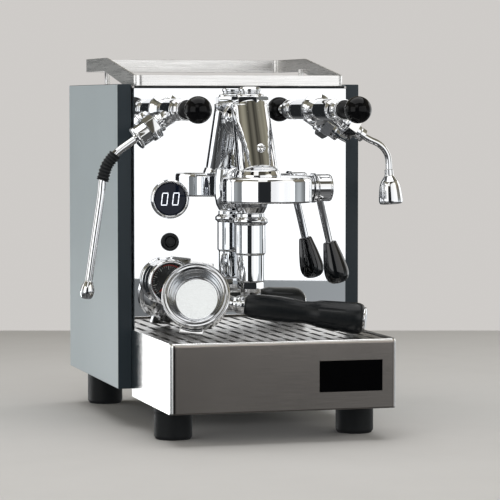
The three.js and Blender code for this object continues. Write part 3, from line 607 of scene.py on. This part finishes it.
def brew_group():
    bell = turned([
        [34, 240], [44.5, 240], [46, 241.4], [46, 262], [45.2, 264.6], [42.5, 266], [0, 266],
        [0, 258], [36.5, 258], [36.5, 247], [34, 247], [34, 240]], at(0, BELL_Y, 0), UP, 128, 0.8)
    head = union(
        bell,
        cone(at(0, GROUP_Y, 337), at(0, NOSE_Y, 268), 19.3, 21.3),
        turned([
            [0, 262], [23.2, 263], [23.8, 266.5], [22.8, 269.6], [21.9, 272], [0, 277]],
            at(0, NOSE_Y, 0), UP, 96, 1),
        turned([[0, 335], [19.6, 335], [19.8, 340.4], [0, 340.4]], at(0, GROUP_Y, 0), UP, 96, 0.6),
        cone(at(0, GROUP_Y, UPPER_PORT), at(0, PANEL_FRONT, UPPER_PORT), 14, 14),
        panel_flange(21, UPPER_PORT),
        cone(at(0, GROUP_Y - 8, LOWER_PORT), at(0, PANEL_FRONT, LOWER_PORT), 16, 16),
        panel_flange(23, LOWER_PORT),
        turned([
            [0, 226.3], [13.5, 226.3], [17, 233], [19, 244], [18.4, 262], [17.4, 271], [0, 273]],
            at(0, GROUP_Y - 4, 0), UP, 96, 1.2),
        cone(at(0, LEVER["y"], LEVER["z"]), at(LEVER["bush_end"], LEVER["y"], LEVER["z"]), 13.2, 13.2),
    )
    piece(head, "group_casting", CHROME, "machine", ["group_head"])

    nut = union(
        prism(at(0, GROUP_Y, 340.8), UP, 39.2, 7.2, 6, 6, 1.8),
        turned([
            [0, 347], [14.4, 347], [14.8, 348.6], [14.4, 350.2], [11.4, 351.4], [10.3, 352.4], [10.3, 353],
            [11.2, 353.8], [11.2, 356], [9.6, 357.8], [5, 358.4], [0, 358.4]],
            at(0, GROUP_Y, 0), UP, 72, 0.5))
    piece(nut, "group_nut", CHROME, "machine", ["group_top_nut"])

    slope = Vector(CUP_SCREW["slope"])
    seat = at(0, CUP_SCREW["y"], CUP_SCREW["z"]) + slope * CUP_SCREW["gap"] * MM
    screw = turned(
        [[0, 0], [4.6, 0], [4.4, 1.2], [3, 2.4], [1.9, 2.6], [1.7, 1.5], [0, 1.3]], seat, slope, 48, 0.25)
    piece(screw, "group_screw", CHROME, "machine", ["group_cup_screw"])

    chamber = turned([
        [0, 154.6], [13.9, 154.6], [14.6, 155.6], [14.6, 182.8], [15, 183.6], [16.1, 184.6], [16.1, 214.2],
        [16.6, 215], [18.3, 216.2], [18.6, 218.2], [18.3, 220], [16.2, 221.4], [15, 222.6], [15, 226],
        [0, 226]], at(0, COLUMN_Y, 0), UP, 96, 0.5)
    piece(chamber, "chamber_barrel", CHROME, "machine", ["preinfusion_chamber"])
    drain = union(
        prism(at(0, COLUMN_Y, 147.4), UP, 27.6, 6.9, 6, 12, 1.2),
        turned([
            [4, 138.5], [9, 138.5], [11, 141], [11, 148], [4, 148], [4, 138.5]],
            at(0, COLUMN_Y, 0), UP, 64, 0.5))
    piece(drain, "drain_nut", CHROME, "machine", ["drain_nozzle"])
    dress("group_gasket", RUBBER, 0.3)
    dress("shower_screen", TURNED_STEEL, 0.2)


# ---- brew lever ----
def brew_lever():
    x, y, z, radius = (LEVER[k] for k in ("x", "y", "z", "radius"))
    inner, collar, root = (at(x - LEVER[k], y, z) for k in ("back", "collar", "root"))
    bushing = turned([[0, 0], [15.6, 0], [15.6, 3.2], [14.8, 4], [0, 4]], collar, RIGHT, 72, 0.4)
    piece(bushing, "lever_collar", CHROME, "machine", ["lever_bushing"])
    slant = math.radians(LEVER["tilt"])
    run = Vector((math.sin(slant), 0, -math.cos(slant)))
    hub = turned([
        [0, 0], [radius - 0.6, 0], [radius, 0.8], [radius, 12.6], [radius - 0.5, 13], [radius - 0.5, 13.6],
        [radius, 14], [radius - 0.4, 15.4], [radius - 2, 16.2], [0, 16.2]],
        inner, RIGHT, 96, 0.4)
    shank = turned([[0, 11], [4, 11], [4, 70], [0, 70]], root, run, 48, 0.3)
    piece(union(hub, shank), "lever_rod", CHROME, "brew_lever", ["lever_arm"])
    grip = turned([
        [4.3, 58.4], [6.2, 58.4], [7.1, 59.4], [8.6, 66], [10.4, 74], [11.8, 82], [12.7, 88], [12.9, 92],
        [12.3, 96.4], [10.4, 100], [7.4, 102.4], [3.6, 103.3], [0, 103.4], [0, 71], [4.3, 71], [4.3, 58.4]],
        root, run, 96, 0.5)
    piece(grip, "lever_grip", KNOB_BLACK, "brew_lever", ["lever_knob"])


# ---- steam and hot-water valves ----
VALVE = {"x": 83.5, "z": 334.3, "socket": -104, "ball": -147, "outlet": -50, "outlet_z": 331.5}
DIP = math.radians(33.5)
BALL = 13.8
# How far along the outlet the nut's collar, the nut and the wand begin.
COLLAR_AT, NUT_AT, WAND_AT = 20.8, 23, 34.4


def outlet_axis(sign):
    return Vector((sign * math.cos(DIP), 0, -math.sin(DIP)))


def on_outlet(sign, distance):
    return at(sign * VALVE["x"], VALVE["outlet"], VALVE["outlet_z"]) + outlet_axis(sign) * distance * MM


def valve(name, sign):
    x, z, socket = sign * VALVE["x"], VALVE["z"], VALVE["socket"]
    reach = PANEL_FRONT - socket
    body = turned([
        [0, 0], [17, 0], [17, 2.4], [16.2, 3.2], [13, 5.4], [11.6, 8], [11.4, 12], [11.4, reach - 36],
        [11, reach - 34], [9.6, reach - 32], [9.6, reach - 22], [10.4, reach - 21], [11, reach - 20],
        [11, reach - 17.4], [10.4, reach - 17], [10.4, reach - 16.6], [11, reach - 16.2], [11, reach - 14],
        [9.4, reach - 12.4], [9.2, reach - 11], [10.9, reach - 4], [10.9, reach - 0.6], [10.4, reach],
        [9.6, reach], [9.6, reach - 4], [0, reach - 4]], at(x, PANEL_FRONT, z), FORWARD, 96, 0.4)
    branch = union(
        body,
        turned([
            [0, 0], [8.2, 0], [8.2, 17], [8.8, 17.6], [9.8, 18], [9.8, 20.5], [0, 20.5]],
            on_outlet(sign, 0), outlet_axis(sign), 64, 0.3))
    piece(branch, f"{name}_body", CHROME, "machine", [f"{name}_valve_body"])
    seat = turned(
        [[0, 0], [9.2, 0], [9.2, 3.2], [7.6, 4.2], [0, 4.2]], at(x, socket + 3.6, z), FORWARD, 64, 0.3)
    piece(seat, f"{name}_seat", NYLON, "machine", [f"{name}_valve_socket"])
    stem = turned([[0, 0], [3.4, 0], [3.4, 21.6], [4.2, 22.6], [5.6, 24], [5.6, 31], [0, 31]],
                  at(x, socket - 1.8, z), FORWARD, 48, 0.4)
    piece(stem, f"{name}_stem", CHROME, f"{name}_lever", [f"{name}_lever_stem"])
    arc = [[BALL * math.cos(math.radians(a)), BALL * math.sin(math.radians(a))] for a in range(-58, 90, 4)]
    ball = turned(
        [[6, -12.4], *arc, [0, BALL], [0, -9.8], [6, -9.8], [6, -12.4]], at(x, VALVE["ball"], z),
        FORWARD, 96, 0.2)
    piece(ball, f"{name}_ball", BLACK_GLOSS, f"{name}_lever", [f"{name}_ball_knob"])
    nut = union(
        prism(on_outlet(sign, NUT_AT), outlet_axis(sign), 26.8, 11, 6, 15 * sign, 1.2),
        turned([[0, 0], [9.2, 0], [9.2, 3], [0, 3]], on_outlet(sign, COLLAR_AT), outlet_axis(sign), 64, 0.3))
    piece(nut, f"{name}_hex_nut", CHROME, "machine", [f"{name}_outlet_nut"])


# The wand's rubber grip: ribbed between two plain ends, which each take up the share called end.
GRIP = {"radius": 5.9, "ribs": 9, "ripple": 0.55, "end": 0.04, "end_lip": 0.4}
WATER_DOWN = Vector((0.07, 0, -1))


def wands():
    y = VALVE["outlet"]
    steam_end, water_end = at(-174.2, y, 159.6), at(149.8, y, 271)
    route = [on_outlet(-1, 36), on_outlet(-1, 44), on_outlet(-1, 58), at(-146.5, y, 288.5), at(-155, y, 277),
             at(-159.6, y, 262), at(-161.2, y, 247), at(-168, y, 202), at(-174.2, y, 160)]
    collar = union(
        prism(on_outlet(-1, WAND_AT), outlet_axis(-1), 22.8, 12, 12, 0, 0.6),
        turned([
            [0, 11], [11, 11], [12.4, 12.6], [12.4, 14.2], [11, 15], [4, 15.6], [0, 15.6]],
            on_outlet(-1, WAND_AT), outlet_axis(-1), 64, 0.4))
    piece(union(collar, sweep(route, 4, 12)), "steam_tube", CHROME, "steam_wand", ["steam_wand"])

    def ribbed(share):
        if GRIP["end"] < share < 1 - GRIP["end"]:
            return GRIP["radius"] + GRIP["ripple"] * math.sin(2 * math.pi * GRIP["ribs"] * share)
        return GRIP["radius"] + GRIP["end_lip"]

    outer = sweep(route[3:6], ribbed, 48, 40)
    piece(boolean(outer, sweep(route, 4.15, 12), "DIFFERENCE"), "steam_grip", RUBBER, "steam_wand",
          ["steam_wand_grip"], weighted=False)
    tip = turned([
        [0, 0], [4.2, 0], [4.3, 1], [5, 2.6], [6.5, 6], [7.2, 10], [7, 13], [6.4, 15.5], [5.4, 17.6],
        [4.2, 18.8], [0, 19.6]], steam_end, route[-1] - route[-2], 64, 0.5)
    piece(tip, "steam_nozzle", CHROME, "steam_wand", ["steam_wand_tip"])

    spout = [on_outlet(1, 36), on_outlet(1, 44), at(129, y, 302.4), at(137.5, y, 298.6), at(144.2, y, 293),
             at(148.4, y, 285.6), at(149.6, y, 278.6), at(149.8, y, 271.4)]
    cuff = turned([
        [0, 0], [7, 0], [7, 4], [6.5, 4.4], [6.5, 5], [7, 5.4], [7, 11], [5, 11.6], [0, 11.6]],
        on_outlet(1, WAND_AT), outlet_axis(1), 64, 0.4)
    piece(union(cuff, sweep(spout, 3.4, 12)), "water_tube", CHROME, "water_wand", ["water_wand"])
    flare = turned([
        [0, 0], [4.6, 0], [4.6, 5], [5, 6.6], [6.6, 8.8], [9.2, 12.4], [10.8, 17], [11.6, 22], [12.4, 29],
        [12.6, 32], [12.4, 34.6], [11.6, 36], [10.8, 36.4], [10.4, 35.6], [10.2, 30], [0, 29.6]],
        water_end, WATER_DOWN, 96, 0.4)
    piece(flare, "water_flare", CHROME, "water_wand", ["water_nozzle"])


# ---- display, button and gauge ----
DISPLAY = {"x": -77.6, "z": 240.6, "radius": 20.6, "window_back": 6, "digits_front": 1.12}
BUTTON = {"x": -77.8, "z": 195.5, "radius": 9.6, "cap_back": 7.2}
GAUGE = {"x": -81.6, "z": 154, "radius": 24.5, "front": -27.5, "dial": 8.3, "dial_radius": 19, "glass": 5.4}
PRINT_THICK = 0.06
DIGIT_SIZE = {"width": 6.9, "height": 13.4, "stroke": 0.95, "slant": 0.12, "pitch": 12, "gap": 0.25}
# Every so many ticks one is long. long and short give their inner end and half their width.
TICKS = {"count": 33, "sweep": 270, "every": 4, "outer": 17, "middle": 16,
         "long": (13.2, 0.28), "short": (15, 0.14)}
RED_ARC = {"from": -20, "sweep": 75, "steps": 24, "inner": 17.2, "outer": 18.3}


def flat_shape(outlines, y, thick):
    """Thin raised shapes, each a list of (x, z) in millimetres, lying on a face at y."""
    bm = bmesh.new()
    for outline in outlines:
        front = [bm.verts.new(at(px, y - thick, pz)) for px, pz in outline]
        rear = [bm.verts.new(at(px, y, pz)) for px, pz in outline]
        bm.faces.new(front)
        bm.faces.new(rear[::-1])
        for k in range(len(front)):
            j = (k + 1) % len(front)
            bm.faces.new((front[k], rear[k], rear[j], front[j]))
    return bmesh_object(bm, "flat", 30)


def display():
    x, z, radius = (DISPLAY[k] for k in ("x", "z", "radius"))
    bezel = turned([
        [17.4, 0], [radius, 0], [radius, 1.2], [radius - 0.6, 2.1], [radius - 1.4, 2.6], [18.8, 2.8],
        [17.9, 2.4], [17.4, 1.6], [17.4, 0]], at(x, PANEL_FRONT, z), FORWARD, 128, 0.4)
    piece(bezel, "display_ring", CHROME, "machine", ["display_bezel"])
    window = turned(
        [[0, 0], [17.1, 0], [17.1, 6.6], [16.4, 7], [0, 7.1]],
        at(x, PANEL_FRONT + DISPLAY["window_back"], z), FORWARD, 96, 0.3)
    piece(window, "display_lens", WINDOW, "machine", ["display_window"])
    w, h = DIGIT_SIZE["width"] / 2, DIGIT_SIZE["height"] / 2
    stroke, slant, pitch, gap = (DIGIT_SIZE[k] for k in ("stroke", "slant", "pitch", "gap"))
    bars = []

    def bar(cx, x0, x1, z0, z1):
        return [(cx + px + slant * pz, z + pz) for px, pz in ((x0, z0), (x1, z0), (x1, z1), (x0, z1))]

    for side in (-0.5, 0.5):
        cx = x + side * pitch
        for level in (-1, 1):
            edge = level * h
            bars.append(bar(cx, -w + stroke * 0.4, w - stroke * 0.4, *sorted((edge, edge - level * stroke))))
            for hand in (-1, 1):
                across = sorted((hand * w, hand * (w - stroke)))
                up = sorted((level * gap, level * (h - stroke - gap)))
                bars.append(bar(cx, *across, *up))
    digits = flat_shape(bars, PANEL_FRONT - DISPLAY["digits_front"], 0.12)
    piece(digits, "display_digits", DIGIT, "machine", weighted=False)


def button():
    x, z, radius = (BUTTON[k] for k in ("x", "z", "radius"))
    ring = turned([
        [5.9, 0], [radius, 0], [radius, 1.6], [radius - 0.7, 2.5], [radius - 1.6, 2.8], [6.8, 2.8],
        [5.9, 2.1], [5.9, 0]], at(x, PANEL_FRONT, z), FORWARD, 96, 0.4)
    piece(ring, "button_collar", BLACK_SATIN, "machine", ["button_ring"])
    cap = turned([
        [0, 0], [5.5, 0], [5.5, 8.8], [4.9, 9.5], [3.6, 9.6], [3.4, 9.3], [3.1, 9.3], [2.9, 9.5], [0, 9.4]],
        at(x, PANEL_FRONT + BUTTON["cap_back"], z), FORWARD, 72, 0.25)
    piece(cap, "button_face", BLACK_SATIN, "power_button", ["button_cap"])


def gauge():
    x, z, radius = (GAUGE[k] for k in ("x", "z", "radius"))
    depth = PANEL_FRONT - GAUGE["front"]
    case = turned([
        [0, 0], [radius - 1.5, 0], [radius - 1.5, depth - 6.6], [radius - 0.4, depth - 5.6],
        [radius, depth - 4.6], [radius, depth - 2.2], [radius - 0.8, depth - 0.8], [radius - 2.4, depth],
        [21.4, depth - 0.1], [20.4, depth - 1], [19.8, depth - 3], [19.4, depth - 3.4], [19.4, 8], [0, 8]],
        at(x, PANEL_FRONT, z), FORWARD, 128, 0.5)
    piece(case, "gauge_housing", CHROME, "machine", ["gauge_case"])
    dial_y, across = PANEL_FRONT - GAUGE["dial"], GAUGE["dial_radius"]
    dial = turned([[0, 0], [across, 0], [across, 1], [0, 1]], at(x, dial_y, z), FORWARD, 96, 0.2)
    piece(dial, "gauge_face", DIAL, "machine", ["gauge_dial"])

    def polar(r, degrees):
        a = math.radians(degrees)
        return x + r * math.sin(a), z + r * math.cos(a)

    print_y = dial_y - 1.01
    gaps, outer = TICKS["count"] - 1, TICKS["outer"]
    ticks = []
    for i in range(TICKS["count"]):
        angle = -TICKS["sweep"] / 2 + TICKS["sweep"] * i / gaps
        inner, half = TICKS["short"] if i % TICKS["every"] else TICKS["long"]
        spread = math.degrees(half / TICKS["middle"])
        ticks.append([polar(inner, angle - spread), polar(outer, angle - spread),
                      polar(outer, angle + spread), polar(inner, angle + spread)])
    marks = flat_shape(ticks, print_y, PRINT_THICK)
    piece(marks, "gauge_ticks", PRINT_WHITE, "machine", weighted=False)
    steps, inner, outer = (RED_ARC[k] for k in ("steps", "inner", "outer"))
    edges = [RED_ARC["from"] + RED_ARC["sweep"] * i / steps for i in range(steps + 1)]
    arcs = [[polar(inner, a), polar(outer, a), polar(outer, b), polar(inner, b)]
            for a, b in zip(edges, edges[1:])]
    red = flat_shape(arcs, print_y, PRINT_THICK)
    piece(red, "gauge_red_arc", PRINT_RED, "machine", weighted=False)
    glass = turned(
        [[0, 0], [across, 0], [across, 1.4], [0, 1.4]], at(x, GAUGE["front"] + GAUGE["glass"], z), FORWARD,
        96, 0.2)
    piece(glass, "gauge_lens", GLASS, "machine", ["gauge_glass"])
    dress("gauge_needle", PRINT_RED)


# ---- portafilter, laid on the grid ----
FILTER = {"x": -67, "y": -72, "z": 144.2, "rim": 35.6, "turn": 19.5, "lean": 21, "roll": 6.6,
          "depth": 15, "floor": 21.6, "arm": -17, "grooves": 6}
EAR = {"half": 12.5, "inner": 30.2, "outer": 39.2, "low": -14, "high": -9}
# How far out along the arm its neck, its grip and the end cap begin, and where the spout hangs from.
NECK_AT, GRIP_AT, CAP_AT, SPOUT_Z = 29.5, 51.2, 173.5, -35.3


def portafilter():
    pose = (Matrix.Translation(at(FILTER["x"], FILTER["y"], FILTER["z"]))
            @ Matrix.Rotation(-math.radians(FILTER["turn"]), 4, "Z")
            @ Matrix.Rotation(math.radians(90 - FILTER["lean"]), 4, "X")
            @ Matrix.Rotation(-math.radians(FILTER["roll"]), 4, "Z"))
    rim, deep, floor, arm = (FILTER[k] for k in ("rim", "depth", "floor", "arm"))

    def lathe(profile, x, y, z, direction, sides=96, radius=0.4):
        made = turned(profile, Vector((x, y, z)) * MM, direction, sides, radius)
        made.data.transform(pose)
        return made

    bowl = lathe([
        [28.9, -1.3], [rim - 1, -1.3], [rim, -2.2], [rim, -6.6], [rim - 0.8, -7.4], [33.4, -8], [32.6, -9.2],
        [32.6, -12], [32.2, -24], [31, -27], [29.2, -29.4], [22, -33.4], [14, -35], [0, -35], [0, -28],
        [28.9, -28], [28.9, -1.3]], 0, 0, 0, UP, 128)
    neck = lathe([
        [0, 0], [10.4, 0], [9.6, 2], [8.2, 6], [7.7, 9], [8, 11.4], [9.2, 13.4], [9.7, 15], [9.2, 16.2],
        [9.2, 16.8], [9.7, 17.6], [9.7, 20.8], [9.2, 21.4], [0, 21.4]], NECK_AT, 0, arm, RIGHT, 96)
    ears = []
    for side in (-1, 1):
        near, far = sorted((side * EAR["inner"], side * EAR["outer"]))
        ear = rounded_box(Vector((-EAR["half"], near, EAR["low"])) * MM,
                          Vector((EAR["half"], far, EAR["high"])) * MM, 1.1)
        ear.data.transform(pose)
        ears.append(ear)
    piece(union(bowl, neck, *ears), "filter_holder", CHROME, "portafilter", ["portafilter_body"])

    basket = lathe([
        [0, -deep - 1], [23.4, -deep - 1], [24.6, -deep + 0.2], [28.4, -1], [rim - 1.6, -1], [rim - 1, -0.4],
        [rim - 1.8, 0.4], [33.2, 0.5], [32.2, 0.1], [31.4, 0.1], [30.4, 0.5], [29.2, 0.3], [28, -0.3],
        [27.3, -1.2], [26.3, -4.6], [25.7, -5], [25.7, -5.8], [25.9, -6.3], [24.1, -deep + 2.4],
        [23.5, -deep + 1.4], [22.6, -deep + 1.1], [22, -deep + 0.5], [floor, -deep], [0, -deep]],
        0, 0, 0, UP, 128, 0.3)
    piece(basket, "coffee_basket", [TURNED_STEEL, LIT_DISC_STEEL], "portafilter",
          ["filter_basket"])
    # The flat floor of the basket is matt, and takes a bright bluish copy of the steel as painted light.
    inverse = pose.inverted()
    for face in basket.data.polygons:
        local = inverse @ face.center / MM
        if abs(local.z + deep) < 0.2:
            face.material_index = 1

    spout = lathe([[0, 0], [9.5, 0], [9.5, 6.7], [0, 6.7]], 0, 0, SPOUT_Z, -UP, 48)
    for side in (-1, 1):
        route = [Vector((0, side * dy, dz)) * MM for dy, dz in ((3, -40), (11, -42), (16, -46), (17, -53))]
        pipe = sweep(route, 5, 8, 28)
        pipe.data.transform(pose)
        union(spout, pipe)
    piece(spout, "twin_spout", CHROME, "portafilter", ["double_spout"])

    grip = lathe([
        [0, 0], [9.6, 0], [10.6, 0.8], [11.4, 2.4], [12.2, 7], [12.9, 14], [13.4, 24], [13.4, 34], [12.8, 46],
        [11.9, 56], [11.6, 61], [11.9, 67], [12.8, 72], [13.9, 75.5], [14.4, 80], [15, 90], [15.7, 102],
        [16.2, 110], [16.3, 114], [15.9, 117.4], [14.9, 120.2], [13.6, 121.6], [12.4, 122], [0, 122]],
        GRIP_AT, 0, arm, RIGHT, 128, 0.8)
    # Long finger grooves in the thick end of the handle.
    for k in range(FILTER["grooves"]):
        angle = math.radians(360 / FILTER["grooves"] * k + 90 - FILTER["roll"])
        route = [Vector((reach, r * math.cos(angle), arm + r * math.sin(angle))) * MM
                 for reach, r in ((127, 16.4), (141, 17.2), (155, 18.4))]
        cutter = sweep(route, 3, 4, 20)
        cutter.data.transform(pose)
        boolean(grip, cutter, "DIFFERENCE")
    piece(grip, "filter_handle", BLACK_SATIN, "portafilter", ["portafilter_handle"])
    cap = lathe(
        [[0, 0], [12.4, 0], [12.4, 1.2], [11.6, 2.2], [8.4, 3], [0, 3.4]], CAP_AT, 0, arm, RIGHT, 72)
    piece(cap, "handle_cap", CHROME, "portafilter", ["handle_end_cap"])


# ---- inside and behind the casing ----
def internals():
    dress("water_tank", TANK_PLASTIC, 0.6)
    dress("tank_lid", COVER_STEEL, 0.3)
    dress("boiler", COPPER, 1.0)
    dress("pump", BRASS, 0.6)
    dress("power_inlet", BLACK_SATIN, 0.4)


# ---- studio ----
# The camera stands on the machine's own axes in millimetres, everything else in the studio in metres.
CAMERA = {"place": (-709.1, -2554.1, 341.0), "yaw": 15.754, "dip": 3.36, "lens": 180, "sensor": 36}
TABLE = {"half": 1.6, "front": -0.78, "back": 1.06, "thick": 0.02}
ROOM_DARK, BACKGROUND = (0.02, 0.022, 0.024), (0.62, 0.6, 0.58)
# What the metal mirrors at each height: the sine of the elevation, then the colour.
ROOM = [
    (-0.34, (0.13, 0.13, 0.13)),
    (-0.15, (0.6, 0.61, 0.62)),
    (-0.07, (0.48, 0.51, 0.53)),
    (0.03, (0.28, 0.29, 0.28)),
    (0.3, (0.16, 0.14, 0.105)),
    (0.6, (0.24, 0.225, 0.17)),
    (0.85, (0.12, 0.11, 0.09)),
]
# The room goes dark round the camera between these cosines of the angle from it.
DARK_FROM, DARK_TO = 0.845, 0.94
MOTTLE_DARK, MOTTLE_BRIGHT = 0.35, 1.5
# Soft boxes: degrees round the machine from the camera towards the right, how far to each side of that
# it reaches, its lowest and highest edge and its distance, its brightness, and whether it lights matt
# surfaces.
SOFT_BOXES = [(40, 30, 0.05, 1.1, 1.5, 1.01, True), (-41, 21, 0.0, 1.0, 1.5, 1.3, True),
              (127, 19, 0.0, 1.0, 1.5, 1.3, True), (-127, 11, -0.12, 0.13, 0.67, 3.4, False),
              (-106, 17, 0.05, 0.95, 1.5, 1.2, True)]
TOP_BOX = {"height": 1.5, "size": 1.7, "bright": 1.9}
BASKET_BOX = {"place": (-0.51, -1.11, 1.01), "aim": (-0.06, -0.11, 0.14), "size": 0.5, "bright": 1.0}


def soft_box(place, aim, width, height, bright, matt=True):
    light = bpy.data.lights.new("soft_box", "AREA")
    light.shape, light.size, light.size_y = "RECTANGLE", width, height
    light.energy = bright * math.pi * width * height
    made = bpy.data.objects.new("soft_box", light)
    made.location = place
    made.rotation_mode = "QUATERNION"
    made.rotation_quaternion = (aim - place).to_track_quat("-Z", "Y")
    made.visible_camera, made.visible_diffuse = False, matt
    bpy.context.collection.objects.link(made)


def room():
    """A dim warm room for what the metal mirrors, and a plain pale backdrop for the camera."""
    world = bpy.data.worlds.new("studio")
    bpy.context.scene.world = world
    world.use_nodes = True
    tree = world.node_tree
    tree.nodes.clear()
    place = node(tree, "ShaderNodeTexCoord")
    turned_by = node(tree, "ShaderNodeVectorRotate", rotation_type="Z_AXIS")
    turned_by.inputs["Angle"].default_value = math.radians(90 + CAMERA["yaw"])
    tree.links.new(place.outputs["Generated"], turned_by.inputs["Vector"])
    parts = node(tree, "ShaderNodeSeparateXYZ")
    tree.links.new(turned_by.outputs[0], parts.inputs[0])
    heights = node(tree, "ShaderNodeValToRGB")
    tree.links.new(ramp(tree, parts.outputs["Z"], 0, 1, -1, 1), heights.inputs["Fac"])
    stops = heights.color_ramp.elements
    while len(stops) < len(ROOM):
        stops.new(0.5)
    for stop, (height, colour) in zip(stops, ROOM):
        stop.position = (height + 1) / 2
        stop.color = (*colour, 1)
    mottle = node(tree, "ShaderNodeTexNoise", Scale=1.7, Detail=2.0)
    tree.links.new(turned_by.outputs[0], mottle.inputs["Vector"])
    shade = node(tree, "ShaderNodeMix", data_type="RGBA", blend_type="MULTIPLY")
    shade.inputs["Factor"].default_value = 1.0
    tree.links.new(heights.outputs["Color"], shade.inputs["A"])
    blotches = ramp(tree, mottle.outputs["Fac"], MOTTLE_DARK, MOTTLE_BRIGHT, 0.35, 0.65)
    tree.links.new(blotches, shade.inputs["B"])
    walls = node(tree, "ShaderNodeMix", data_type="RGBA")
    walls.inputs["B"].default_value = (*ROOM_DARK, 1)
    tree.links.new(shade.outputs["Result"], walls.inputs["A"])
    tree.links.new(ramp(tree, parts.outputs["X"], 0, 1, DARK_FROM, DARK_TO), walls.inputs["Factor"])
    lit = node(tree, "ShaderNodeBackground", Strength=1.0)
    tree.links.new(walls.outputs["Result"], lit.inputs["Color"])
    plain = node(tree, "ShaderNodeBackground", Strength=1.0)
    plain.inputs["Color"].default_value = (*BACKGROUND, 1)
    seen = node(tree, "ShaderNodeLightPath")
    both = node(tree, "ShaderNodeMixShader")
    tree.links.new(seen.outputs["Is Camera Ray"], both.inputs["Fac"])
    tree.links.new(lit.outputs[0], both.inputs[1])
    tree.links.new(plain.outputs[0], both.inputs[2])
    out = node(tree, "ShaderNodeOutputWorld")
    tree.links.new(both.outputs[0], out.inputs["Surface"])


def studio():
    camera = bpy.data.objects.new("camera", bpy.data.cameras.new("camera"))
    camera.location = at(*CAMERA["place"])
    yaw, dip = math.radians(CAMERA["yaw"]), math.radians(CAMERA["dip"])
    ahead = Vector((math.sin(yaw) * math.cos(dip), math.cos(yaw) * math.cos(dip), -math.sin(dip)))
    camera.rotation_mode = "QUATERNION"
    camera.rotation_quaternion = ahead.to_track_quat("-Z", "Y")
    camera.data.lens, camera.data.sensor_width = CAMERA["lens"], CAMERA["sensor"]
    camera.data.clip_end = 100
    bpy.context.collection.objects.link(camera)
    bpy.context.scene.camera = camera

    half, thick = TABLE["half"], TABLE["thick"]
    floor = rounded_box(Vector((-half, TABLE["front"], -thick)), Vector((half, TABLE["back"], 0)), 2)
    floor.name = "floor"
    floor.rotation_euler.z = -yaw
    floor.data.materials.append(FLOOR)
    floor.visible_glossy = False

    for bearing, reach, low, high, distance, bright, matt in SOFT_BOXES:
        angle = math.radians(bearing) - yaw
        place = Vector((math.sin(angle) * distance, -math.cos(angle) * distance, (low + high) / 2))
        width = 2 * distance * math.tan(math.radians(reach))
        soft_box(place, Vector((0, 0, place.z)), width, high - low, bright, matt)
    size = BASKET_BOX["size"]
    soft_box(Vector(BASKET_BOX["place"]), Vector(BASKET_BOX["aim"]), size, size, BASKET_BOX["bright"])
    top = Vector((0, 0, TOP_BOX["height"]))
    soft_box(top, Vector((0, 0, 0)), TOP_BOX["size"], TOP_BOX["size"], TOP_BOX["bright"])
    room()
    bpy.context.scene.view_settings.view_transform = "Standard"


casing()
cup_rail()
tray()
brew_group()
brew_lever()
valve("steam", -1)
valve("water", 1)
wands()
display()
button()
gauge()
portafilter()
internals()
studio()
